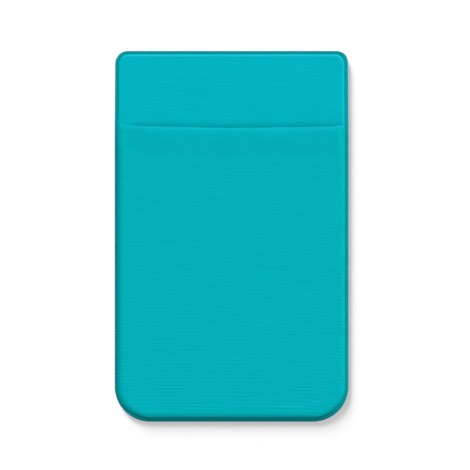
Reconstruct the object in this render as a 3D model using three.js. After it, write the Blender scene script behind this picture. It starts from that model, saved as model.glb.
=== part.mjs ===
// Stick-on card pocket for the back of a phone. A stretch-knit pocket is heat-pressed round its
// edge onto a stiffened back panel, over a sheet of adhesive and the liner that keeps it clean.
// Units are millimetres: +Z points out of the front, +Y to the open end, +X to the right.
// The origin is the centre of the liner's underside, the face that the holder lies on.

import * as THREE from 'three';

// Outline of the holder, seen from the front
const holderWidth = 60;
const holderLength = 95.2;
const topCornerRadius = 3.3;
const bottomCornerRadius = 9.1;
const headTaper = 0.13; // each side leans in this far between the mouth and the top edge

// Adhesive sheet, and the liner that stands a little proud of it and ends in a finger tab
const linerThickness = 0.12;
const linerInset = 3;
const linerTopRadius = 3;
const linerOverhang = 0.6;
const adhesiveThickness = 0.25;
const tabWidth = 16;
const tabReach = 2;

// Back panel: knit bonded to a thin board, thinner where its rim is pressed
const panelRimThickness = 0.45;
const panelFieldRise = 0.35;
const panelShoulder = 0.6;
const edgeRound = 0.12;

// Front pocket: one ply of knit, pressed flat along its rim and turned over at the mouth
const plyThickness = 0.45;
const pressedPly = 0.3;
const pocketRim = 0.95;
const rimStep = 0.15; // the panel's rim shows this much wider than the pocket's
const pocketShoulder = 1.5;
const cardThickness = 0.76; // a bank card
const cardClearance = 0.14;

// Mouth of the pocket, which sags in the middle, and the turned hem behind it
const mouthBelowTop = 18.9;
const mouthSag = 0.85;
const mouthFlatness = 4; // the sag's power: higher keeps more of the middle straight
const sagFade = 20;
const hemRise = 0.35;
const hemCrest = 1.8;
const hemFall = 6.5;

// Fineness of the faceting
const cornerSteps = 8;
const columns = 14;
const shoulderSteps = 6;

// What follows from the sizes above
const panelRim = pocketRim + rimStep;
const adhesiveZ = linerThickness;
const panelZ = adhesiveZ + adhesiveThickness;
const rimZ = panelZ + panelRimThickness;
const cardGap = cardThickness + cardClearance;
const halfWidth = holderWidth / 2;
const halfLength = holderLength / 2;
const mouthY = halfLength - mouthBelowTop;

// Runs from 0 to 1 with a level start and end, and stays there outside
function ease(t) {
  return THREE.MathUtils.smoothstep(t, 0, 1);
}

// Fractions 1/count, 2/count ... 1
function fractions(count) {
  return Array.from({ length: count }, (_, i) => (i + 1) / count);
}

// Distances in from the outline where the panel and the pocket bend. Both pieces use the same
// list, so that the pocket follows the panel face to face.
function bendInsets() {
  const wanted = [0, edgeRound, pocketRim, panelRim];
  for (const f of fractions(shoulderSteps)) {
    wanted.push(panelRim + panelShoulder * f, pocketRim + pocketShoulder * f);
  }
  wanted.sort((a, b) => a - b);
  const kept = [];
  for (const inset of wanted) {
    if (kept.length === 0 || inset - kept[kept.length - 1] > edgeRound / 2) kept.push(inset);
  }
  return kept;
}

const insets = bendInsets();

// Heights above the table, by distance in from the outline

function panelTop(inset) {
  const rounded = Math.max(0, edgeRound - inset);
  return rimZ - rounded + panelFieldRise * ease((inset - panelRim) / panelShoulder);
}

function pocketUnderside(inset) {
  const lift = cardGap * ease((inset - pocketRim) / pocketShoulder);
  return Math.max(rimZ, panelTop(inset)) + lift;
}

// The hem makes the ply thicker behind the mouth: up to its crest, then down to the plain ply
function hemThickness(below) {
  const up = ease(below / hemCrest);
  const down = ease((below - hemCrest) / hemFall);
  return hemRise * (up - down);
}

function pocketThickness(inset, below) {
  const loose = ease((inset - pocketRim) / pocketShoulder);
  const rounded = Math.max(0, edgeRound - inset);
  const full = plyThickness + hemThickness(below);
  return THREE.MathUtils.lerp(pressedPly, full, loose) - rounded;
}

// Round corner of the outline about its centre, moved in by inset. Angles are in quarter turns,
// anticlockwise from +X.
function cornerPoint(side, end, radius, inset, quarterTurns) {
  const angle = (quarterTurns * Math.PI) / 2;
  const reach = Math.max(radius - inset, edgeRound / 2);
  const x = side * (halfWidth - radius) + reach * Math.cos(angle);
  const y = end * (halfLength - radius) + reach * Math.sin(angle);
  return new THREE.Vector2(x, y);
}

// Collects triangles and turns them into a geometry
class FaceList {
  constructor() {
    this.positions = [];
  }

  triangle(a, b, c) {
    if (a.equals(b) || b.equals(c) || c.equals(a)) return;
    this.positions.push(...a.toArray(), ...b.toArray(), ...c.toArray());
  }

  quad(a, b, c, d) {
    this.triangle(a, b, c);
    this.triangle(a, c, d);
  }

  // Flat cap over a closed loop that runs anticlockwise seen from above
  cap(loop, facesUp) {
    const flat = loop.map((p) => new THREE.Vector2(p.x, p.y));
    for (const [i, j, k] of THREE.ShapeUtils.triangulateShape(flat, [])) {
      const corners = facesUp ? [loop[i], loop[j], loop[k]] : [loop[i], loop[k], loop[j]];
      this.triangle(...corners);
    }
  }

  geometry() {
    const made = new THREE.BufferGeometry();
    made.setAttribute('position', new THREE.Float32BufferAttribute(this.positions, 3));
    made.computeVertexNormals();
    return made;
  }
}

// Back panel: loops of the outline stacked from the underside up over the rim and the shoulder

function panelLoop(inset, z) {
  const loop = [];
  const corner = (side, end, radius, firstQuarter) => {
    for (const f of [0, ...fractions(cornerSteps)]) {
      loop.push(cornerPoint(side, end, radius, inset, firstQuarter + f));
    }
  };
  corner(1, 1, topCornerRadius, 0);
  corner(-1, 1, topCornerRadius, 1);
  loop.push(new THREE.Vector2(inset - halfWidth, mouthY));
  corner(-1, -1, bottomCornerRadius, 2);
  corner(1, -1, bottomCornerRadius, 3);
  loop.push(new THREE.Vector2(halfWidth - inset, mouthY));
  return loop.map((p) => {
    const up = Math.max(0, (p.y - mouthY) / mouthBelowTop);
    return new THREE.Vector3(p.x * (1 - (headTaper / halfWidth) * up), p.y, z);
  });
}

function panelGeometry() {
  const raised = insets.filter((inset) => inset <= panelRim + panelShoulder);
  const loops = [panelLoop(0, panelZ)];
  for (const inset of raised) loops.push(panelLoop(inset, panelTop(inset)));
  const faces = new FaceList();
  faces.cap(loops[0], false);
  for (let k = 0; k + 1 < loops.length; k++) {
    const [lower, upper] = [loops[k], loops[k + 1]];
    for (let i = 0; i < lower.length; i++) {
      const next = (i + 1) % lower.length;
      faces.quad(lower[i], lower[next], upper[next], upper[i]);
    }
  }
  faces.cap(loops[loops.length - 1], true);
  return faces.geometry();
}

// Front pocket: the same outline from one end of the mouth round the bottom to the other, with
// the field inside it in rows across

// Distances below the mouth of the rows on the straight sides. The first few go round the fold.
function rowsBelowMouth() {
  const foldRadius = plyThickness / 2;
  const fold = [0, 1, 2, 3].map((i) => foldRadius * (1 - Math.cos((i * Math.PI) / 6)));
  const rise = [0.4, 0.6, 0.8, 1].map((f) => hemCrest * f);
  const fall = fractions(5).map((f) => hemCrest + hemFall * f);
  const rest = [0.5, 0.75, 1].map((f) => sagFade * f);
  const longest = mouthY + halfLength - bottomCornerRadius;
  const rows = [...fold, ...rise, ...fall, ...rest].sort((a, b) => a - b);
  return rows.filter((below) => below < longest);
}

// The stations of one U-shaped line, from the left end of the mouth to the right end
function pocketLine(inset) {
  const left = rowsBelowMouth().map((below) => new THREE.Vector2(inset - halfWidth, mouthY - below));
  for (const f of [0, ...fractions(cornerSteps)]) {
    left.push(cornerPoint(-1, -1, bottomCornerRadius, inset, 2 + f));
  }
  const corner = left[left.length - 1];
  const bottom = fractions(columns - 1).map((f) => {
    const across = (f * (columns - 1)) / columns;
    return new THREE.Vector2(corner.x * (1 - 2 * across), corner.y);
  });
  const right = left.map((p) => new THREE.Vector2(-p.x, p.y)).reverse();
  return [...left, ...bottom, ...right];
}

// Top and underside of the pocket over one point of its flat plan
function pocketPair(p, inset) {
  const below = mouthY - p.y;
  const across = Math.min(1, Math.abs(p.x) / halfWidth);
  const sag = mouthSag * (1 - across ** mouthFlatness) * (1 - ease(below / sagFade));
  const foldRadius = plyThickness / 2;
  const intoFold = Math.min(1, below / foldRadius);
  const fullness = Math.sqrt(1 - (1 - intoFold) ** 2);
  const thickness = pocketThickness(inset, below);
  const middle = pocketUnderside(inset) + thickness / 2;
  const reach = (thickness / 2) * fullness;
  return {
    top: new THREE.Vector3(p.x, p.y - sag, middle + reach),
    underside: new THREE.Vector3(p.x, p.y - sag, middle - reach),
  };
}

function pocketGeometry() {
  const faces = new FaceList();
  const patch = (a, b, c, d) => {
    faces.quad(a.top, b.top, c.top, d.top);
    faces.quad(d.underside, c.underside, b.underside, a.underside);
  };
  const lines = insets.map((inset) => pocketLine(inset).map((p) => pocketPair(p, inset)));
  const last = lines[0].length - 1;

  for (let s = 0; s < last; s++) {
    const [a, b] = [lines[0][s], lines[0][s + 1]];
    faces.quad(a.underside, b.underside, b.top, a.top);
    for (let k = 0; k + 1 < lines.length; k++) {
      patch(lines[k][s], lines[k][s + 1], lines[k + 1][s + 1], lines[k + 1][s]);
    }
  }

  // The field: each row runs between the innermost line's stations on the left and the right
  const fieldInset = insets[insets.length - 1];
  const inner = pocketLine(fieldInset);
  const rowCount = (inner.length - (columns - 1)) / 2;
  const rows = [];
  for (let j = 0; j < rowCount; j++) {
    const row = [];
    for (let i = 0; i <= columns; i++) {
      const p = new THREE.Vector2().lerpVectors(inner[j], inner[last - j], i / columns);
      row.push(pocketPair(p, fieldInset));
    }
    rows.push(row);
  }
  for (let j = 0; j + 1 < rowCount; j++) {
    for (let i = 0; i < columns; i++) {
      patch(rows[j][i], rows[j + 1][i], rows[j + 1][i + 1], rows[j][i + 1]);
    }
  }
  return faces.geometry();
}

// Adhesive sheet and liner: flat sheets cut to the outline, moved in

function sheetShape(inset, topRadius) {
  const right = halfWidth - inset;
  const top = halfLength - inset;
  const bottomRadius = Math.max(bottomCornerRadius - inset, topRadius);
  const shape = new THREE.Shape();
  shape.absarc(right - topRadius, top - topRadius, topRadius, 0, Math.PI / 2);
  shape.absarc(topRadius - right, top - topRadius, topRadius, Math.PI / 2, Math.PI);
  shape.absarc(bottomRadius - right, bottomRadius - top, bottomRadius, Math.PI, Math.PI * 1.5);
  return { shape, right, top, bottomRadius };
}

function sheetGeometry(outline, thickness) {
  outline.shape.absarc(
    outline.right - outline.bottomRadius,
    outline.bottomRadius - outline.top,
    outline.bottomRadius,
    Math.PI * 1.5,
    Math.PI * 2
  );
  return new THREE.ExtrudeGeometry(outline.shape, {
    depth: thickness,
    bevelEnabled: false,
    curveSegments: cornerSteps,
  });
}

function linerGeometry() {
  const outline = sheetShape(linerInset, linerTopRadius);
  const edge = -outline.top;
  const halfTab = tabWidth / 2;
  const bend = tabReach;
  outline.shape.lineTo(-halfTab - bend, edge);
  outline.shape.quadraticCurveTo(-halfTab, edge, bend - halfTab, edge - tabReach);
  outline.shape.lineTo(halfTab - bend, edge - tabReach);
  outline.shape.quadraticCurveTo(halfTab, edge, halfTab + bend, edge);
  return sheetGeometry(outline, linerThickness);
}

function adhesiveGeometry() {
  const outline = sheetShape(linerInset + linerOverhang, linerTopRadius);
  return sheetGeometry(outline, adhesiveThickness);
}

// Materials, by what each piece is made of

function stretchKnit() {
  return new THREE.MeshStandardMaterial({ color: 0x04afb9, roughness: 0.72, metalness: 0 });
}

function clearAdhesive() {
  return new THREE.MeshStandardMaterial({ color: 0xdfe3de, roughness: 0.35, metalness: 0 });
}

function siliconePaper() {
  return new THREE.MeshStandardMaterial({ color: 0xf3f0e6, roughness: 0.45, metalness: 0 });
}

function piece(name, geometry, material, z = 0) {
  const mesh = new THREE.Mesh(geometry, material);
  mesh.name = name;
  mesh.position.z = z;
  return mesh;
}

const cardHolder = new THREE.Group();
cardHolder.add(
  piece('front_pocket', pocketGeometry(), stretchKnit()),
  piece('back_panel', panelGeometry(), stretchKnit()),
  piece('adhesive_sheet', adhesiveGeometry(), clearAdhesive(), adhesiveZ),
  piece('release_liner', linerGeometry(), siliconePaper())
);

export default cardHolder;
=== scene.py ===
# %% [markdown]
# # A stick-on card pocket of stretch knit
#
# The real thing is four sheets in a stack: a pocket of ribbed stretch knit, a stiffened back panel
# with the same knit on it, a sheet of adhesive and the liner that keeps the adhesive clean. A
# heated frame presses the pocket's edges flat onto the panel, so that the edge is thin, dark and
# smooth, and everything inside it stands up in a soft cushion with rounded shoulders.
#
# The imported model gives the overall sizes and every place. This script builds the two knit pieces
# again with their ribs, hem and pressed edge, and gives all four a finish.

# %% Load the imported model
import math

import bmesh
import bpy
import numpy as np
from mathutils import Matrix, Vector


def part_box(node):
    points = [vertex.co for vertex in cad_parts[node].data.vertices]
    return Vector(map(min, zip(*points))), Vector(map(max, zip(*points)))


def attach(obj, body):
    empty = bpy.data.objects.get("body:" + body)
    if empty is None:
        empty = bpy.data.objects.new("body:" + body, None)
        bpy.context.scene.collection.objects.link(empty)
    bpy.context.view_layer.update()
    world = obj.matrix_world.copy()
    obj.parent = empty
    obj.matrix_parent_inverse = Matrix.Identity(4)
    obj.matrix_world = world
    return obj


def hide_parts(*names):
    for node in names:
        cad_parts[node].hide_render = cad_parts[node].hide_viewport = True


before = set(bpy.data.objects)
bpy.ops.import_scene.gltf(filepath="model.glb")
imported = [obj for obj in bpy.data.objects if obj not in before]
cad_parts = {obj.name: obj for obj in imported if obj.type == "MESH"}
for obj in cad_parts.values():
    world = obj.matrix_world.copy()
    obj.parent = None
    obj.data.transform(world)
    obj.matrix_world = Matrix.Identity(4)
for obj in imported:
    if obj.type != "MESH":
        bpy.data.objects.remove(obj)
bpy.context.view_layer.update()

MM = 0.001
print("pieces in the frame:", sorted(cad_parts))

# %% [markdown]
# ## Sizes
#
# All the shapes below are worked out in millimetres and turned to metres when a mesh is made. The
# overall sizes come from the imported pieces. What a box can't say, such as how thick the pressed
# knit is, is named here.

# %% Sizes of the panel and the pocket
panel_low, panel_high = (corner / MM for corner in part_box("back_panel"))
pocket_low, pocket_high = (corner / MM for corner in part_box("front_pocket"))

HALF_WIDTH = panel_high.x
HALF_LENGTH = panel_high.y
MOUTH_Y = pocket_high.y
RIM_Z = pocket_low.z
PANEL_UNDER_Z = panel_low.z
PANEL_RISE = panel_high.z - RIM_Z

TOP_RADIUS = 3.3
BOTTOM_RADIUS = 9.1
HEAD_TAPER = 0.13
FULLER_CORNER = 0.2
FULLER_CORNER_DEPTH = 1.8

CARD_GAP = 0.9
PLY = 0.45
PRESSED_PLY = 0.3
HEM_RISE = pocket_high.z - panel_high.z - CARD_GAP - PLY
POCKET_Z = pocket_high.z - HEM_RISE

print(f"outline {2 * HALF_WIDTH:.1f} x {2 * HALF_LENGTH:.1f} mm, mouth at y {MOUTH_Y:.2f} mm")
print(f"panel field {PANEL_RISE:.2f} mm above its rim, hem {HEM_RISE:.2f} mm above the ply")

# %% [markdown]
# ## Shapes that bend by a formula
#
# Each piece is a sheet whose height depends on how far in from the outline a point is. `ease` is
# the smooth step that most bends use. `swell` and `bulge` are the bends of cloth beside a pressed
# edge, which rises at once and then rounds off: `swell` for the stiff panel, and `bulge`, a quarter
# of an ellipse, for the soft pocket.
#
# `by_side` gives a size that changes from side to side, written as four numbers: left, right, top
# and bottom. The outward direction of the outline says how much of each side a point belongs to, so
# that a size flows round the corners without a jump. `by_corner` gives a size, written as left and
# right, that a corner has at its middle and that fades away on the straight sides.
#
# `drift` is a slow uneven wave between -1 and 1, because no two ribs of a knit lie quite alike. It
# adds three sines that never fall into step. It has no random numbers, so each run gives the same
# cloth.

# %% Smooth steps and sizes by side
def ease(t):
    t = np.clip(t, 0, 1)
    return t * t * (3 - 2 * t)


def swell(t):
    t = np.clip(t, 0, 1)
    return 1 - (1 - t) ** 2


def bulge(t):
    t = np.clip(t, 0, 1)
    return np.sqrt(1 - (1 - t) ** 2)


def by_side(plan, left, right, top, bottom):
    across, along = plan["nx"], plan["ny"]
    return np.where(across < 0, left, right) * across**2 + np.where(along < 0, bottom, top) * along**2


def by_corner(plan, left, right):
    share = 4 * plan["nx"] ** 2 * plan["ny"] ** 2
    return share * np.where(plan["nx"] < 0, left, right)


def drift(x, y, step_x, step_y):
    u, v = x / step_x, y / step_y
    first = np.sin(2.1 * u + 1.7 * np.sin(0.9 * v))
    second = np.sin(1.7 * v + 1.3 * np.sin(1.1 * u + 2.0))
    third = np.sin(1.3 * (u + v) + 4.0)
    return (first + second + third) / 3


# %% [markdown]
# ## The ribs
#
# The knit has fine ribs across it, 0.9 mm apart. Pulling the cloth over the panel bent them: they
# fall towards the right side, and on the head towards the left one too. The hem stretches them
# flatter, so they grow stronger from the mouth to the bottom, most of all where the cloth turns
# down to the bottom edge. Where they run into the pressed rim they push its inner line in and out
# A bump in the material could fake them, but they show in the highlights along the edge,
# so they are real waves in the mesh, with broad crests and narrow furrows. The wave is also kept on
# the mesh as an attribute, which the material reads to paint shade into the furrows and a little
# light onto the crests.
#
# The fall of a rib is a slope in degrees, plus a bow that grows with the square of the distance
# from the middle, plus a last bend near the sides. Each rib also sways a little, and fades and
# returns along its length.

# %% Ribs
RIB_PITCH = 0.9
HEAD_RIB_PITCH = 0.94
RIB_HEIGHT = 0.022
HEAD_RIB_HEIGHT = 0.011
RIB_PUSH = 0.045
HEAD_RIB_PUSH = 0.0315

RIB_SLOPE = 0.5
LEFT_BOW, RIGHT_BOW = 0.015, 0.045
HEAD_LEFT_BOW, HEAD_RIGHT_BOW = 0.07, 0.065
LAST_BEND = 0.00005
HEAD_BOW_START, HEAD_BOW_LENGTH = 12, 20

LONG_SWAY, LONG_SWAY_STEPS = 0.3, (24, 7)
SHORT_SWAY, SHORT_SWAY_STEPS = 0.13, (3.5, 1.3)
MEAN_STRENGTH = 0.82
STRENGTH_CHANGE, STRENGTH_STEPS = 0.5, (6, 1.0)


def rib_fall(x, y):
    """How far the ribs have dropped at x: they slope by half a degree in the middle, 6 on the right."""
    on_head = ease((y - HEAD_BOW_START) / HEAD_BOW_LENGTH)
    left = LEFT_BOW + (HEAD_LEFT_BOW - LEFT_BOW) * on_head
    right = RIGHT_BOW + (HEAD_RIGHT_BOW - RIGHT_BOW) * on_head
    bow = np.where(x < 0, left, right)
    return math.radians(1) * (RIB_SLOPE * x + bow * x**2 + LAST_BEND * x**4)


def rib_wave(x, y, pitch):
    sway = LONG_SWAY * drift(x, y, *LONG_SWAY_STEPS) + SHORT_SWAY * drift(x, y, *SHORT_SWAY_STEPS)
    turns = (y + rib_fall(x, y)) / pitch + sway
    strength = MEAN_STRENGTH + STRENGTH_CHANGE * drift(x, y, *STRENGTH_STEPS)
    furrow = (1 - np.cos(2 * math.pi * turns)) / 2
    return strength * (1 - 2 * furrow**2)


print(f"a rib ends {rib_fall(HALF_WIDTH, 0):.1f} mm lower on the pocket's right side than in the middle")

# %% [markdown]
# ## How a sheet is meshed
#
# A plain grid would cut across the round corners and leave steps in the pressed rim. So the rim
# and the shoulder are lines that follow the outline, one inside the other, and only the field
# inside the last of them is a grid of rows. A station is a point of the outline with its outward
# direction: moving every station in by one distance gives one line. The field's rows run between
# the last line's stations on the left and on the right, so the two parts fit point to point.
#
# Rows lie 0.15 mm apart where ribs show, which gives each rib six rows, and so do the lines of the
# pocket inside its rim, where they run along the ribs at the bottom. An underside, which only shows
# at the mouth, takes every few stations of the top.

# %% Stations along the outline
ROW_STEP = 0.15
ARC_STEPS = 60
COLUMNS = 56


def arc(centre, radius, first_degrees, last_degrees, steps=ARC_STEPS):
    """Points and outward directions along a round corner, both ends included."""
    angles = np.radians(np.linspace(first_degrees, last_degrees, steps + 1))
    normals = np.stack([np.cos(angles), np.sin(angles)], axis=1)
    return np.array(centre) + radius * normals, normals


def left_edge(rows_y):
    """Points and outward directions down the straight left side."""
    points = np.stack([np.full(len(rows_y), -HALF_WIDTH), rows_y], axis=1)
    return points, np.tile([-1.0, 0.0], (len(rows_y), 1))


def joined(*runs):
    """One run out of several, each of which starts where the last one ends."""
    points = [runs[0][0]] + [run[0][1:] for run in runs[1:]]
    normals = [runs[0][1]] + [run[1][1:] for run in runs[1:]]
    return np.concatenate(points), np.concatenate(normals)


def mirrored(run):
    return tuple((part * [-1, 1])[::-1] for part in run)


def straight_across(corner, normal, columns=COLUMNS):
    """The run from a corner to its mirror image, both ends included."""
    x = corner[0] * np.linspace(1, -1, columns + 1)
    points = np.stack([x, np.full(columns + 1, corner[1])], axis=1)
    return points, np.tile(normal, (columns + 1, 1))


def picked(run, numbers):
    return tuple(part[numbers] for part in run)


BOTTOM_LEFT = (BOTTOM_RADIUS - HALF_WIDTH, BOTTOM_RADIUS - HALF_LENGTH)
TOP_LEFT = (TOP_RADIUS - HALF_WIDTH, HALF_LENGTH - TOP_RADIUS)


# %% The plan of a sheet: where its points lie before they have a height
def line_plan(run, insets):
    points, normals = run
    at = points[:, None, :] - insets[None, :, None] * normals[:, None, :]
    outward = np.broadcast_to(normals[:, None, :], at.shape)
    depth = np.broadcast_to(insets, at.shape[:2])
    return {"x": at[..., 0], "y": at[..., 1], "depth": depth, "nx": outward[..., 0], "ny": outward[..., 1]}


def field_plan(left_run, inset):
    points, normals = left_run
    left = points - inset * normals
    x = left[:, :1] * np.linspace(1, -1, COLUMNS + 1)
    flat = np.zeros_like(x)
    return {"x": x, "y": left[:, 1:] + flat, "depth": flat + inset, "nx": flat, "ny": flat - 1}


# %% A sheet that collects grids of points
class Sheet:
    """Points and faces of one piece. Points that fall together are welded when it is made."""

    def __init__(self):
        self.points = []
        self.faces = []
        self.marks = {"pressed": [], "crest": [], "rib": []}
        self.count = 0

    def grid(self, x, y, z, marks=None, facing_up=True):
        """Adds a grid whose rows run down the sheet or along the outline, and gives its numbers."""
        ids = self.count + np.arange(x.size).reshape(x.shape)
        self.count += x.size
        self.points.append(np.stack([x, y, z], axis=-1).reshape(-1, 3))
        for name, values in self.marks.items():
            given = np.zeros(x.shape) if marks is None else marks[name]
            values.append(np.broadcast_to(given, x.shape).ravel())
        cells = np.stack([ids[:-1, :-1], ids[1:, :-1], ids[1:, 1:], ids[:-1, 1:]], axis=-1)
        cells = cells.reshape(-1, 4)
        self.faces += (cells if facing_up else cells[:, ::-1]).tolist()
        return ids

    def wall(self, upper, lower, numbers):
        """Closes the edge between the top's outline and an underside that took fewer stations."""
        for k, (first, last) in enumerate(zip(numbers[:-1], numbers[1:])):
            back = upper[first + 1 : last + 1][::-1].tolist()
            self.faces.append([int(upper[first]), int(lower[k]), int(lower[k + 1]), *back])

    def made(self, name):
        mesh = bpy.data.meshes.new(name)
        mesh.from_pydata((np.concatenate(self.points) * MM).tolist(), [], self.faces)
        for mark, values in self.marks.items():
            layer = mesh.attributes.new(mark, "FLOAT", "POINT")
            layer.data.foreach_set("value", np.concatenate(values).astype(np.float32))
        whole = bmesh.new()
        whole.from_mesh(mesh)
        bmesh.ops.remove_doubles(whole, verts=whole.verts, dist=1e-8)
        bmesh.ops.dissolve_degenerate(whole, edges=whole.edges, dist=1e-9)
        open_edges = sum(1 for e in whole.edges if len(e.link_faces) != 2)
        whole.to_mesh(mesh)
        whole.free()
        mesh.shade_smooth()
        piece = bpy.data.objects.new(name, mesh)
        bpy.context.scene.collection.objects.link(piece)
        triangles = sum(len(face.vertices) - 2 for face in mesh.polygons)
        print(f"{name}: {triangles} triangles, {open_edges} open edges")
        return piece


# %% [markdown]
# ## The back panel
#
# The panel is knit bonded to a thin board. It shows above the mouth as the head, with a rim that
# the heated frame pressed flat and a field that stands up 0.35 mm inside it. The rim is painted the
# pressed knit's darker teal, which on the left runs a little past it as painted shade. The step
# between the rim and the field is steep, and at the top and on the right its foot carries a painted
# highlight, a paler teal, on the sides that face the lamps.
# The rim's width differs from side to side, as pressed edges do, and it slopes down to the outline,
# most of all at the bottom. Along the pocket's mouth the hem presses a shallow valley into the
# field, which starts a little way in from the left and is shallower at the right end.
#
# Extruding the outline and bevelling its edge would be quicker, but a bevel has one width all
# round. A height worked out for each point can differ on every side. The top is one grid of lines
# and rows, and the underside is one flat face, because the adhesive sheet covers nearly all of it.

# %% The panel's outline, a touch out of true
def leaned(plan):
    """The head is a touch narrower towards the top edge, and its right corner a touch fuller."""
    up = np.clip((plan["y"] - MOUTH_Y) / (HALF_LENGTH - MOUTH_Y), 0, 1)
    at_top = np.where(plan["ny"] > 0, 1, 0)
    fuller = at_top * by_corner(plan, 0, FULLER_CORNER) * (1 - ease(plan["depth"] / FULLER_CORNER_DEPTH))
    x = plan["x"] * (1 - HEAD_TAPER / HALF_WIDTH * up) + fuller * plan["nx"]
    return x, plan["y"] + fuller * plan["ny"]


# %% The line of the mouth
MOUTH_SAG = 0.92
BOW_POWER = 1.5
LEFT_RISE, RIGHT_RISE = 0.7, 0.45
LEFT_PULL, RIGHT_PULL = 0.45, 0.4
LEFT_PULL_START, RIGHT_PULL_START = 24, 25
PULL_WIDTH = 5


def mouth_sag(x):
    """How far the mouth hangs: in one long bow, whose two ends are pulled up more steeply."""
    out = np.abs(x)
    bow = np.where(x < 0, LEFT_RISE, RIGHT_RISE) * (out / HALF_WIDTH) ** BOW_POWER
    left_end = LEFT_PULL * ease((out - LEFT_PULL_START) / PULL_WIDTH)
    right_end = RIGHT_PULL * ease((out - RIGHT_PULL_START) / PULL_WIDTH)
    return MOUTH_SAG - bow - np.where(x < 0, left_end, right_end)


print(f"the mouth hangs {mouth_sag(0):.2f} mm in the middle and {mouth_sag(24):.2f} mm at x 24 mm")

# %% Heights of the panel
PANEL_RIM = (0.86, 1.02, 0.88, 1.2)
PANEL_RIM_CORNERS = (0.05, 0.1)
RIM_DROP = (0.14, 0.14, 0.04, 0.4)
RIM_SLOPE_WIDTH = (0.4, 0.4, 0.35, 1.2)
RIM_SLOPE_POWER = 1.5
STEP_WIDTH = (0.3, 0.6, 0.6, 0.6)

VALLEY_DEPTH = 0.3
VALLEY_WIDTH = 1.9
VALLEY_INSET, VALLEY_START = 1, 6.5
VALLEY_LOSS, VALLEY_LOSS_X, VALLEY_LOSS_WIDTH = 0.3, 21, 5

# How strongly the head's rim is painted the pressed knit's dark teal; on the left it runs a little past the
# rim as painted shade.
PANEL_PRESSED_AND_SHADE = (0.54, 0.54, 0.7, 1.0)
PANEL_PRESSED_AND_SHADE_PAST_RIM = (0.04, -0.06, -0.06, 0)
PANEL_PRESSED_AND_SHADE_FADE = 0.12
# A painted highlight, a paler teal, along the foot of the step on the sides that face the lamps: top and
# right.
PAINTED_HIGHLIGHT_SIDES = (0, 0.4, 0.7, 0)
PAINTED_HIGHLIGHT_RISE, PAINTED_HIGHLIGHT_TOP, PAINTED_HIGHLIGHT_FADE = 0.1, 0.2, 0.6


def rim_level(plan):
    """The rim that the frame flattened, which slopes down to the outline."""
    drop = by_side(plan, *RIM_DROP)
    slope_width = by_side(plan, *RIM_SLOPE_WIDTH)
    return RIM_Z - drop * (1 - np.clip(plan["depth"] / slope_width, 0, 1)) ** RIM_SLOPE_POWER


def panel_lift(plan, push):
    """How far a point is past the rim, and how far the panel has risen there, 0 to 1."""
    rim = by_side(plan, *PANEL_RIM) + by_corner(plan, *PANEL_RIM_CORNERS)
    past_rim = plan["depth"] - rim + push
    return past_rim, swell(past_rim / by_side(plan, *STEP_WIDTH))


def panel_level(plan):
    """The panel's top without its ribs and its valley, for the pocket to lie on."""
    low = rim_level(plan)
    return low + (panel_high.z - low) * panel_lift(plan, 0)[1]


def panel_top(plan):
    x, y = plan["x"], plan["y"]
    wave = rib_wave(x, y, HEAD_RIB_PITCH)
    past_rim, lift = panel_lift(plan, HEAD_RIB_PUSH * wave * plan["nx"] ** 2)
    ahead = np.clip((y - MOUTH_Y + mouth_sag(x)) / VALLEY_WIDTH, 0, 1)
    lost = VALLEY_LOSS * ease((x - VALLEY_LOSS_X) / VALLEY_LOSS_WIDTH)
    along = ease((x + HALF_WIDTH - VALLEY_INSET) / VALLEY_START) - lost
    valley = VALLEY_DEPTH * along * (1 - ahead) ** 2
    rise = panel_high.z - rim_level(plan) - valley + HEAD_RIB_HEIGHT * wave
    # The rim's darker teal: the pressed knit, with painted shade past the rim on the left.
    past_pressed_and_shade = past_rim - by_side(plan, *PANEL_PRESSED_AND_SHADE_PAST_RIM)
    pressed = by_side(plan, *PANEL_PRESSED_AND_SHADE) * (1 - ease(past_pressed_and_shade / PANEL_PRESSED_AND_SHADE_FADE))
    # A painted highlight along the foot of the step, broken by the ribs on the right.
    highlight_share = by_side(plan, *PAINTED_HIGHLIGHT_SIDES) * (1 + 0.5 * wave * plan["nx"] ** 2)
    crest = highlight_share * ease(past_rim / PAINTED_HIGHLIGHT_RISE) * (1 - ease((past_rim - PAINTED_HIGHLIGHT_TOP) / PAINTED_HIGHLIGHT_FADE))
    return rim_level(plan) + lift * rise, {"pressed": pressed, "crest": crest, "rib": wave * lift}


# %% Build the panel
PANEL_ARC_STEPS = 24
HIDDEN_FROM = 3
HIDDEN_ROW_STEP = 2.0
panel_insets = np.array([0, 0.05, 0.12, 0.2, 0.3, 0.45, 0.6, 0.66, 0.72, 0.78, 0.84, 0.9, 0.96])
panel_insets = np.append(panel_insets, [1.02, 1.08, 1.14, 1.2, 1.28, 1.36, 1.46, 1.56, 1.66, 1.9])

head_rows = np.arange(HALF_LENGTH - TOP_RADIUS, MOUTH_Y - HIDDEN_FROM, -ROW_STEP)
hidden_rows = np.arange(head_rows[-1] - HIDDEN_ROW_STEP, BOTTOM_LEFT[1], -HIDDEN_ROW_STEP)
rows_y = np.concatenate([head_rows, hidden_rows, [BOTTOM_LEFT[1]]])
panel_left = joined(
    arc(TOP_LEFT, TOP_RADIUS, 90, 180, PANEL_ARC_STEPS),
    left_edge(rows_y),
    arc(BOTTOM_LEFT, BOTTOM_RADIUS, 180, 270, PANEL_ARC_STEPS),
)
bottom_corner = (BOTTOM_LEFT[0], -HALF_LENGTH)
top_corner = (-TOP_LEFT[0], HALF_LENGTH)
panel_run = joined(
    panel_left,
    straight_across(bottom_corner, (0, -1)),
    mirrored(panel_left),
    straight_across(top_corner, (0, 1)),
)

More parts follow.
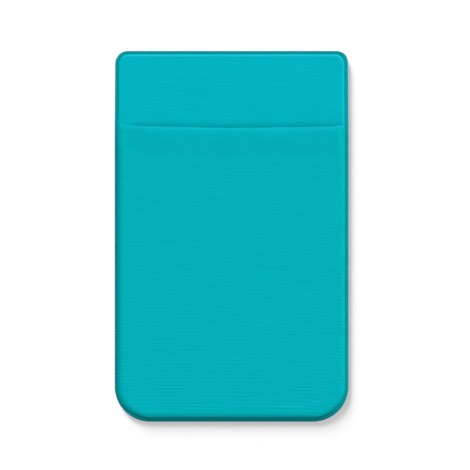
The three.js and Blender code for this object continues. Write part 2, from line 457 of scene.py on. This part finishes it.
panel = Sheet()
lines = line_plan(panel_run, panel_insets)
z, marks = panel_top(lines)
line_ids = panel.grid(*leaned(lines), z, marks)
field = field_plan(panel_left, panel_insets[-1])
z, marks = panel_top(field)
panel.grid(*leaned(field), z, marks)
outline = line_plan(panel_run, panel_insets[:1])
under_ids = panel.grid(*leaned(outline), np.full_like(outline["x"], PANEL_UNDER_Z))
panel.wall(line_ids[:, 0], under_ids[:, 0], range(len(under_ids)))
panel.faces.append(under_ids[:-1, 0][::-1].tolist())
back_panel = panel.made("back_panel_knit")

# %% [markdown]
# ## The front pocket
#
# The pocket is one ply of the knit, pressed to the panel's rim along its bottom and both sides.
# Its mouth edge is turned over, so the cloth is twice as thick there: the hem stands a little
# proud for the first few millimetres and then sinks into the plain ply. Held only at its ends, the
# mouth sags by about a millimetre. Towards its left end the cloth comes down to the panel in a
# long slope, and the end itself runs up over the rim as a small ear. The frame missed the pocket's
# left edge a little, so only a narrow strip of rim is left there, while the right side and the
# bottom have the full one. The rim is painted the pressed knit's darker teal, and painted shade
# adds to it: strongest along the bottom, fading over 2 mm on the left, and over a wider strip
# round the bottom corners, where the shoulders face away from the lamps. At the right corner the
# slope is wider too, because the cloth had more to give. The hem's fold carries a painted highlight.
#
# Cloth simulation would find a soft shape by itself, but it wouldn't know where the frame pressed
# and how hard. This cloth lies flat and only its shoulders bend, so formulas give its heights, as
# they give the panel's. It is a closed sheet with a top and an underside that meet in a round fold
# at the mouth, so the space for the cards is really open. The underside never goes below the
# panel's field, and the top is always at least a hair above the underside.

# %% Sizes of the pocket's bends
SAG_FADE = 20
EAR_RISE = 0.95
EAR_WIDTH = 1.15
EAR_SLOPE_WIDTH = 0.9
HEM_CREST = 1.8
HEM_FALL = 6.5
FOLD_RADIUS = 0.42
FLANGE_START = 1.6
THINNEST = 0.02
FLAT_END_LENGTH = 9

POCKET_RIM = (0.3, 0.9, 0.9, 1.15)
EDGE_PLY_SHARE, EDGE_WIDTH = 0.35, 0.3
SHOULDER_WIDTH = (2.4, 1.5, 1.5, 1.7)
SHOULDER_CORNERS = (0, 1.0)

SLACK_STEP, SLACK_STEP_WIDTH = 0.28, 2.2
SLACK_SLOPE_WIDTH = 9
TAUT_RIM, TAUT_WIDTH = 0.9, 2.2

# The pocket rim's dark teal by side: the pressed knit plus painted shade, strongest at the bottom, fading
# over 2 mm on the left and wider round the corners.
POCKET_PRESSED_AND_SHADE = (0.52, 0.68, 0.68, 1.0)
LESS_PRESSED_AND_SHADE_CORNERS = (0.42, 0.12)
PRESSED_AND_SHADE_FADE = (2.0, 0.14, 0.14, 0.3)
PRESSED_AND_SHADE_FADE_CORNERS = (0.7, 1.6)
PRESSED_AND_SHADE_START, PRESSED_AND_SHADE_START_CORNERS = 0.04, (0, 0.3)
# A painted highlight along the hem's fold, which faces the top lamp.
HEM_PAINTED_HIGHLIGHT, HEM_PAINTED_HIGHLIGHT_RISE, HEM_PAINTED_HIGHLIGHT_FADE = 0.15, 0.3, 0.7

MOUTH_RIB_SHARE = 0.45
RIB_GROWTH = 75
TURN_DOWN_SHARE = 0.5
TURN_DOWN_START, TURN_DOWN_WIDTH = 1.5, 6


# %% How the pocket's cloth lies
def mouth_shift(x, below):
    """How far the cloth has moved down by the sag of its mouth."""
    ear = EAR_RISE * (1 - ease((x + HALF_WIDTH - EAR_WIDTH) / EAR_SLOPE_WIDTH))
    return (mouth_sag(x) - ear) * (1 - ease(below / SAG_FADE))


def hem(below):
    return HEM_RISE * (swell(below / HEM_CREST) - ease((below - HEM_CREST) / HEM_FALL))


def rib_strength(y):
    """How strong the ribs are on the pocket, from the mouth down to the bottom edge."""
    grown = MOUTH_RIB_SHARE + (1 - MOUTH_RIB_SHARE) * ease((MOUTH_Y - y) / RIB_GROWTH)
    return grown + TURN_DOWN_SHARE * (1 - ease((y + HALF_LENGTH - TURN_DOWN_START) / TURN_DOWN_WIDTH))


def cushion(plan, past_rim, below):
    """How far the cloth has risen from the rim, 0 to 1: steep below, and flatter at the mouth."""
    shoulder = by_side(plan, *SHOULDER_WIDTH) + by_corner(plan, *SHOULDER_CORNERS)
    steep = bulge(past_rim / shoulder)
    from_side = HALF_WIDTH - np.abs(plan["x"])
    slack = SLACK_STEP * swell(from_side / SLACK_STEP_WIDTH)
    slack = slack + (1 - SLACK_STEP) * ease(from_side / SLACK_SLOPE_WIDTH)
    taut = swell((from_side - TAUT_RIM) / TAUT_WIDTH)
    flat = np.where(plan["x"] < 0, slack, taut)
    near_mouth = 1 - ease(below / FLAT_END_LENGTH)
    return steep + near_mouth * (flat - steep)


# %% The pocket's two surfaces and its pressed look
def pressed_and_shade_look(plan, past_rim):
    """How dark the rim's colour is, from the pressing and from painted shade; it fades out over the
    shoulder.
    """
    strength = by_side(plan, *POCKET_PRESSED_AND_SHADE) - by_corner(plan, *LESS_PRESSED_AND_SHADE_CORNERS)
    fade = by_side(plan, *PRESSED_AND_SHADE_FADE) + by_corner(plan, *PRESSED_AND_SHADE_FADE_CORNERS)
    start = PRESSED_AND_SHADE_START + by_corner(plan, *PRESSED_AND_SHADE_START_CORNERS)
    return strength * (1 - ease((past_rim + start) / fade))


def pocket_surfaces(plan):
    """Heights of the top and of the underside, and the marks for the top."""
    x, y, depth = plan["x"], plan["y"], plan["depth"]
    below = MOUTH_Y - y
    wave = rib_wave(x, y, RIB_PITCH) * rib_strength(y)
    past_rim = depth - by_side(plan, *POCKET_RIM) + RIB_PUSH * wave * plan["nx"] ** 2
    lift = cushion(plan, past_rim, below)
    thinned = EDGE_PLY_SHARE + (1 - EDGE_PLY_SHARE) * ease(depth / EDGE_WIDTH)
    flange = rim_level(plan) + PRESSED_PLY * thinned * ease(below / FLANGE_START)
    top = flange + lift * (POCKET_Z + hem(below) + RIB_HEIGHT * wave - flange)
    thickness = (flange - rim_level(plan)) * (1 - lift) + (PLY + hem(below)) * lift
    under = np.maximum(top - thickness, panel_level(plan))
    top = np.maximum(top, under + THINNEST)
    fullness = bulge(below / FOLD_RADIUS)
    middle = (top + under) / 2
    top = middle + (top - middle) * fullness
    under = middle + (under - middle) * fullness
    # A painted highlight just below the fold of the hem.
    hem_highlight = HEM_PAINTED_HIGHLIGHT * ease(below / HEM_PAINTED_HIGHLIGHT_RISE)
    hem_highlight = hem_highlight * (1 - ease((below - HEM_PAINTED_HIGHLIGHT_RISE) / HEM_PAINTED_HIGHLIGHT_FADE))
    crest = hem_highlight * ease(3 * lift)
    marks = {"pressed": pressed_and_shade_look(plan, past_rim), "crest": crest, "rib": wave * lift}
    return top, under, marks


# %% Build the pocket
UNDER_STRIDE = 6
FOLD_STEPS = 8
fold_angles = np.radians(np.linspace(0, 90, FOLD_STEPS + 1))
fold_rows = MOUTH_Y - FOLD_RADIUS * (1 - np.cos(fold_angles))
plain_rows = np.arange(fold_rows[-1] - ROW_STEP, BOTTOM_LEFT[1], -ROW_STEP)
pocket_left = joined(
    left_edge(np.concatenate([fold_rows, plain_rows, [BOTTOM_LEFT[1]]])),
    arc(BOTTOM_LEFT, BOTTOM_RADIUS, 180, 270),
)
pocket_run = joined(pocket_left, straight_across(bottom_corner, (0, -1)), mirrored(pocket_left))
pocket_insets = np.array([0, 0.03, 0.07, 0.12, 0.2, 0.3, 0.42, 0.55, 0.7, 0.84, 0.9, 0.96])
pocket_insets = np.append(pocket_insets, [1.02, 1.1, 1.18, 1.28, 1.4, *np.arange(1.55, 3.9, 0.15)])

side_count = len(pocket_left[0])
fold_count = len(fold_rows)
coarse = list(range(fold_count)) + list(range(fold_count, side_count - 1, UNDER_STRIDE))
coarse_left = coarse + [side_count - 1]
last_station = len(pocket_run[0]) - 1
coarse_bottom = range(side_count, side_count + COLUMNS - 1)
coarse_right = [last_station - k for k in coarse_left[::-1]]
coarse_run = coarse_left + list(coarse_bottom) + coarse_right


def pocket_grid(sheet, plan, want_top):
    top, under, marks = pocket_surfaces(plan)
    y = plan["y"] - mouth_shift(plan["x"], MOUTH_Y - plan["y"])
    z = top if want_top else under
    return sheet.grid(plan["x"], y, z, marks, facing_up=want_top)


pocket = Sheet()
upper_ids = pocket_grid(pocket, line_plan(pocket_run, pocket_insets), True)
pocket_grid(pocket, field_plan(pocket_left, pocket_insets[-1]), True)
lower_ids = pocket_grid(pocket, line_plan(picked(pocket_run, coarse_run), pocket_insets), False)
pocket_grid(pocket, field_plan(picked(pocket_left, coarse_left), pocket_insets[-1]), False)
pocket.wall(upper_ids[:, 0], lower_ids[:, 0], coarse_run)
front_pocket = pocket.made("front_pocket_knit")

# %% [markdown]
# ## Colours and a helper for materials
#
# Colours are written as the sRGB values that a screen shows, and Blender's sockets want linear
# light, so one function turns the first into the second. One more function adds a node with its
# settings, its values and its links, which keeps each material short enough to read.

# %% Colour and node helpers
def linear(hex_code):
    values = [int(hex_code[k : k + 2], 16) / 255 for k in (1, 3, 5)]
    light = [v / 12.92 if v <= 0.04045 else ((v + 0.055) / 1.055) ** 2.4 for v in values]
    return (*light, 1.0)


def add(tree, kind, inputs=None, **settings):
    """Adds a node. An input is a value or another node's output."""
    node = tree.nodes.new("ShaderNode" + kind)
    for name, value in settings.items():
        setattr(node, name, value)
    for socket, value in (inputs or {}).items():
        if isinstance(value, bpy.types.NodeSocket):
            tree.links.new(value, node.inputs[socket])
        else:
            node.inputs[socket].default_value = value
    return node


def new_material(name):
    material = bpy.data.materials.new(name)
    material.use_nodes = True
    tree = material.node_tree
    return material, tree, tree.nodes["Principled BSDF"]


def in_millimetres(tree):
    """Object coordinates, counted in millimetres."""
    place = add(tree, "TexCoord")
    return add(tree, "VectorMath", {0: place.outputs["Object"], 1: (1 / MM,) * 3}, operation="MULTIPLY")


# %% [markdown]
# ## Ribbed stretch knit
#
# The cloth is a polyester knit with elastane in it, dyed teal. Its filaments are fine and matt, so
# the surface has next to no mirror reflection and only a faint sheen where it turns away. Close up
# it is rows of loops: the columns of loops stand 0.36 mm apart and the rows 0.3 mm, three rows to
# a rib. The furrows are painted a touch darker, as painted shade, and the crests a touch lighter,
# and the dye is not quite even along the yarn.
#
# Where the heated frame pressed it, the filaments are squeezed together. That closes the loops,
# takes the fuzz away and turns the teal darker. The same darker teal also carries painted shade
# along parts of the rims. A paler teal is a painted highlight along the edges that face the lamps.
# A picture of cloth couldn't know where those places are. The mesh knows, by two attributes, one
# for the pressed rim with its painted shade and one for the painted highlight, so the whole finish
# is made of nodes that can read them. On the head the knit isn't stretched, so its loops lie closer
# and the teal is a touch fuller than on the pocket.

# %% The loops of the knit
COLUMN_SPACING = 0.36
ROW_SPACING = 0.3
LOOP_DEPTH = 0.006 * MM


def loop_height(tree, place):
    """Height of the loops, 0 to 1: each column of loops is a pair of slanting strands."""
    split = add(tree, "SeparateXYZ", {0: place.outputs[0]})
    turns = math.pi / COLUMN_SPACING
    column = add(tree, "Math", {0: split.outputs[0], 1: turns}, operation="MULTIPLY")
    strand = add(tree, "Math", {0: column.outputs[0]}, operation="SINE")
    bow = add(tree, "Math", {0: strand.outputs[0]}, operation="ABSOLUTE")
    rows = add(tree, "Math", {0: split.outputs[1], 1: 2 * math.pi / ROW_SPACING}, operation="MULTIPLY")
    slanted = add(tree, "Math", {0: bow.outputs[0], 1: 2.0, 2: rows.outputs[0]}, operation="MULTIPLY_ADD")
    row = add(tree, "Math", {0: slanted.outputs[0]}, operation="SINE")
    lifted = add(tree, "Math", {0: row.outputs[0], 1: 0.25, 2: 0.25}, operation="MULTIPLY_ADD")
    loops = add(tree, "Math", {0: bow.outputs[0], 1: 0.5, 2: lifted.outputs[0]}, operation="MULTIPLY_ADD")
    return loops.outputs[0]


# %% Knit
TEAL_STRETCHED = "#00AFB9"
TEAL_RELAXED = "#00B3C0"
TEAL_PRESSED_AND_SHADE = "#007F84"
TEAL_PAINTED_HIGHLIGHT = "#22C0D6"
KNIT_ROUGHNESS = 0.82
PRESSED_SMOOTHER = 0.2
STREAK_LENGTH = 5.0
STREAK_WIDTH = 0.45
MOTTLES_PER_MM = 0.12
MOTTLE_SHARE = 0.4
DYE_CHANGE = 0.14


def knit(name, teal, furrow_painted_shade):
    material, tree, surface = new_material(name)
    pressed = add(tree, "Attribute", attribute_name="pressed").outputs["Fac"]
    crest = add(tree, "Attribute", attribute_name="crest").outputs["Fac"]
    rib = add(tree, "Attribute", attribute_name="rib").outputs["Fac"]
    place = in_millimetres(tree)

    stretch = (1 / STREAK_LENGTH, 1 / STREAK_WIDTH, 1)
    along = add(tree, "VectorMath", {0: place.outputs[0], 1: stretch}, operation="MULTIPLY")
    streaks = add(tree, "TexNoise", {"Vector": along.outputs[0], "Scale": 1.0, "Detail": 3.0})
    mottle = add(tree, "TexNoise", {"Vector": place.outputs[0], "Scale": MOTTLES_PER_MM, "Detail": 2.0})
    cloudy = {0: mottle.outputs[0], 1: MOTTLE_SHARE, 2: streaks.outputs[0]}
    uneven = add(tree, "Math", cloudy, operation="MULTIPLY_ADD")
    middle = (1 + MOTTLE_SHARE) / 2
    from_middle = add(tree, "Math", {0: uneven.outputs[0], 1: middle}, operation="SUBTRACT")
    dye = add(tree, "Math", {0: from_middle.outputs[0], 1: DYE_CHANGE, 2: 1.0}, operation="MULTIPLY_ADD")
    # Painted shade in the furrows and painted light on the crests of the ribs, on top of the uneven dye.
    dye_and_painted_shade = add(tree, "Math", {0: rib, 1: furrow_painted_shade, 2: dye.outputs[0]}, operation="MULTIPLY_ADD")

    # A painted highlight: the paler teal where the highlight attribute is set.
    highlighted = add(tree, "Mix", {0: crest, 6: linear(teal), 7: linear(TEAL_PAINTED_HIGHLIGHT)}, data_type="RGBA")
    # The darker teal of the pressed rim, which also carries painted shade.
    dyed = add(tree, "Mix", {0: pressed, 6: highlighted.outputs[2], 7: linear(TEAL_PRESSED_AND_SHADE)}, data_type="RGBA")
    shaded = add(tree, "VectorMath", {0: dyed.outputs[2], "Scale": dye_and_painted_shade.outputs[0]}, operation="SCALE")

    loops = loop_height(tree, place)
    raised = add(tree, "Math", {0: 1.0, 1: pressed}, operation="SUBTRACT")
    height = add(tree, "Math", {0: loops, 1: raised.outputs[0]}, operation="MULTIPLY")
    bump = add(tree, "Bump", {"Strength": 1.0, "Distance": LOOP_DEPTH, "Height": height.outputs[0]})
    smoother = {0: pressed, 1: -PRESSED_SMOOTHER, 2: KNIT_ROUGHNESS}
    rough = add(tree, "Math", smoother, operation="MULTIPLY_ADD")

    tree.links.new(shaded.outputs[0], surface.inputs["Base Color"])
    tree.links.new(rough.outputs[0], surface.inputs["Roughness"])
    tree.links.new(bump.outputs[0], surface.inputs["Normal"])
    surface.inputs["Specular IOR Level"].default_value = 0.02
    surface.inputs["Sheen Weight"].default_value = 0.03
    surface.inputs["Sheen Roughness"].default_value = 0.5
    surface.inputs["Sheen Tint"].default_value = linear("#7FD8E8")
    return material


# The painted shade in the furrows is twice as strong on the stretched pocket as on the head.
pocket_finish = knit("ribbed_elastane_knit_stretched", TEAL_STRETCHED, furrow_painted_shade=0.012)
panel_finish = knit("ribbed_elastane_knit_bonded", TEAL_RELAXED, furrow_painted_shade=0.006)
print(f"{RIB_PITCH / ROW_SPACING:.0f} rows of loops to a rib, {1 / COLUMN_SPACING:.1f} columns to a mm")

# %% [markdown]
# ## Adhesive and liner
#
# Both are CAD pieces whose shape is right, so they keep their solids and only get a finish. The
# adhesive is a clear acrylic film on both faces of a thin tissue: slightly milky, with a soft wet
# gloss. The liner is glassine, a smooth greaseproof paper with a silicone coat, and it shows the
# cloudy fibres of its pulp.

# %% Acrylic adhesive film
CLOUD_SIZE = 3.0


def adhesive():
    material, tree, surface = new_material("acrylic_adhesive_on_tissue")
    place = in_millimetres(tree)
    clouds = add(tree, "TexNoise", {"Vector": place.outputs[0], "Scale": 1 / CLOUD_SIZE, "Detail": 5.0})
    colour = add(tree, "ValToRGB", {"Fac": clouds.outputs[0]})
    colour.color_ramp.elements[0].color = linear("#D4DAD4")
    colour.color_ramp.elements[1].color = linear("#E9ECE6")
    rough = add(tree, "Math", {0: clouds.outputs[0], 1: 0.2, 2: 0.25}, operation="MULTIPLY_ADD")
    tree.links.new(colour.outputs[0], surface.inputs["Base Color"])
    tree.links.new(rough.outputs[0], surface.inputs["Roughness"])
    surface.inputs["IOR"].default_value = 1.47
    return material


# %% Silicone-coated glassine
FIBRE_LENGTH = 1.2


def glassine():
    material, tree, surface = new_material("silicone_coated_glassine")
    place = in_millimetres(tree)
    twisted = {"Vector": place.outputs[0], "Scale": 1 / FIBRE_LENGTH, "Detail": 8.0, "Distortion": 1.5}
    fibres = add(tree, "TexNoise", twisted)
    colour = add(tree, "ValToRGB", {"Fac": fibres.outputs[0]})
    colour.color_ramp.elements[0].color = linear("#E8E3D2")
    colour.color_ramp.elements[1].color = linear("#F6F3E8")
    bump = add(tree, "Bump", {"Strength": 0.4, "Distance": 0.01 * MM, "Height": fibres.outputs[0]})
    tree.links.new(colour.outputs[0], surface.inputs["Base Color"])
    tree.links.new(bump.outputs[0], surface.inputs["Normal"])
    surface.inputs["Roughness"].default_value = 0.38
    surface.inputs["IOR"].default_value = 1.43
    return material


# %% Give every piece its finish and its place
def finish_piece(piece, material):
    piece.data.materials.clear()
    piece.data.materials.append(material)


finish_piece(front_pocket, pocket_finish)
finish_piece(back_panel, panel_finish)
finish_piece(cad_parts["adhesive_sheet"], adhesive())
finish_piece(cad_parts["release_liner"], glassine())

for piece, node in ((front_pocket, "front_pocket"), (back_panel, "back_panel")):
    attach(piece, "root")
    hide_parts(node)

# %% [markdown]
# ## What the cloth was cut to
#
# Both knit pieces are sheets. The panel is cut to the outline. The pocket is cut to the outline
# below the mouth with one more strip for the hem, which is turned over inside.

# %% [markdown]
# ## Floor, light and camera
#
# The holder lies on a large sheet of paper. The paper is light grey, and a little glow that only
# the eye sees lifts it to white, so that it shows white all over and still takes a soft shadow,
# without throwing more light on the holder.
#
# The holder is lit by large soft lamps from the top and from the right, which brighten the
# shoulders on those sides and leave those at the bottom and on the left in shade. The shadow on the
# paper falls to the bottom right all the same, as if from a lamp at the top left. No single lamp
# does both, so the lamps are linked: two light only the holder, and one lights only the paper. That
# shadow is as wide beside the thin head as beside the thick pocket. So the paper's lamp stands low,
# and only the panel and the two sheets below it stop its light.
#
# A sun with a wide angle works as a big softbox far away. Its strength is worked out from the
# share of the light that a level surface gets from it. On the holder the shares add up to one, so
# that a colour renders as it is written.
#
# The camera looks straight down and sees as many millimetres across its frame as the photo does,
# a little to the right of the holder's middle, as the photo is framed.

# %% Floor
PAPER_HALF_SIZE = 3.0
PAPER_GLOW = 0.37
PULP_PER_MM = 0.8


def seamless_paper():
    """Matt light grey paper. Rays from the camera, a mirror or a window see it lifted to white."""
    material, tree, surface = new_material("light_grey_seamless_paper")
    path = add(tree, "LightPath").outputs
    seen = add(tree, "Math", {0: path["Is Camera Ray"], 1: path["Is Glossy Ray"]}, operation="MAXIMUM")
    seen = add(tree, "Math", {0: seen.outputs[0], 1: path["Is Transmission Ray"]}, operation="MAXIMUM")
    glow = add(tree, "Math", {0: seen.outputs[0], 1: PAPER_GLOW}, operation="MULTIPLY")
    place = in_millimetres(tree)
    pulp = add(tree, "TexNoise", {"Vector": place.outputs[0], "Scale": PULP_PER_MM, "Detail": 4.0})
    colour = add(tree, "ValToRGB", {"Fac": pulp.outputs[0]})
    colour.color_ramp.elements[0].color = linear("#B6B6B5")
    colour.color_ramp.elements[1].color = linear("#B9B9B8")
    tree.links.new(colour.outputs[0], surface.inputs["Base Color"])
    tree.links.new(glow.outputs[0], surface.inputs["Emission Strength"])
    surface.inputs["Emission Color"].default_value = (1, 1, 1, 1)
    surface.inputs["Roughness"].default_value = 0.9
    surface.inputs["Specular IOR Level"].default_value = 0.0
    return material


bpy.ops.mesh.primitive_plane_add(size=2 * PAPER_HALF_SIZE)
paper = bpy.context.object
paper.name = "seamless_paper"
paper.data.materials.append(seamless_paper())

# %% World
AMBIENT_SHARE = 0.42


def studio_world():
    world = bpy.data.worlds.new("studio")
    world.use_nodes = True
    tree = world.node_tree
    path = add(tree, "LightPath").outputs
    seen = add(tree, "Math", {0: path["Is Camera Ray"], 1: path["Is Glossy Ray"]}, operation="MAXIMUM")
    seen = add(tree, "Math", {0: seen.outputs[0], 1: path["Is Transmission Ray"]}, operation="MAXIMUM")
    strength = add(
        tree, "Math", {0: seen.outputs[0], 1: 1 - AMBIENT_SHARE, 2: AMBIENT_SHARE}, operation="MULTIPLY_ADD"
    )
    background = tree.nodes["Background"]
    background.inputs["Color"].default_value = (1, 1, 1, 1)
    tree.links.new(strength.outputs[0], background.inputs["Strength"])
    return world


bpy.context.scene.world = studio_world()

# %% Lamps
TOP_SHARE = 0.36
RIGHT_SHARE = 0.22
PAPER_SHARE = 1.0


def gathered(name, members):
    group = bpy.data.collections.new(name)
    for piece in members:
        group.objects.link(piece)
    return group


def softbox(name, towards, level_share, spread_degrees, receivers, blockers=None):
    """A far lamp. towards points to the lamp. If blockers are given, they alone cast its shadow."""
    towards = Vector(towards).normalized()
    light = bpy.data.lights.new(name, "SUN")
    light.energy = level_share * math.pi / towards.z
    light.angle = math.radians(spread_degrees)
    lamp = bpy.data.objects.new(name, light)
    lamp.rotation_euler = towards.to_track_quat("Z", "Y").to_euler()
    bpy.context.scene.collection.objects.link(lamp)
    lamp.light_linking.receiver_collection = gathered(name + "_receivers", receivers)
    if blockers:
        lamp.light_linking.blocker_collection = gathered(name + "_blockers", blockers)


flat_pieces = [back_panel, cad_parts["adhesive_sheet"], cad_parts["release_liner"]]
softbox("top_softbox", (0.1, 0.7, 0.7), TOP_SHARE, 30, [front_pocket, *flat_pieces])
softbox("right_softbox", (0.75, 0.1, 0.65), RIGHT_SHARE, 30, [front_pocket, *flat_pieces])
softbox("paper_softbox", (-0.5, 1.05, 0.18), PAPER_SHARE, 26, [paper], blockers=flat_pieces)
print(f"level light on the holder: {AMBIENT_SHARE + TOP_SHARE + RIGHT_SHARE:.2f}")

# %% Camera
SENSOR_MM = 36
LENS_MM = 100
VIEW_WIDTH = 120.64
AIM_X, AIM_Y = 0.875, 0.355

lens = bpy.data.cameras.new("camera")
lens.sensor_width = SENSOR_MM
lens.lens = LENS_MM
camera = bpy.data.objects.new("camera", lens)
distance = VIEW_WIDTH * LENS_MM / SENSOR_MM
camera.location = (AIM_X * MM, AIM_Y * MM, (distance + RIM_Z) * MM)
bpy.context.scene.collection.objects.link(camera)
bpy.context.scene.camera = camera
bpy.context.scene.view_settings.view_transform = "Standard"
print(f"camera {distance:.0f} mm above the rim, looking straight down")
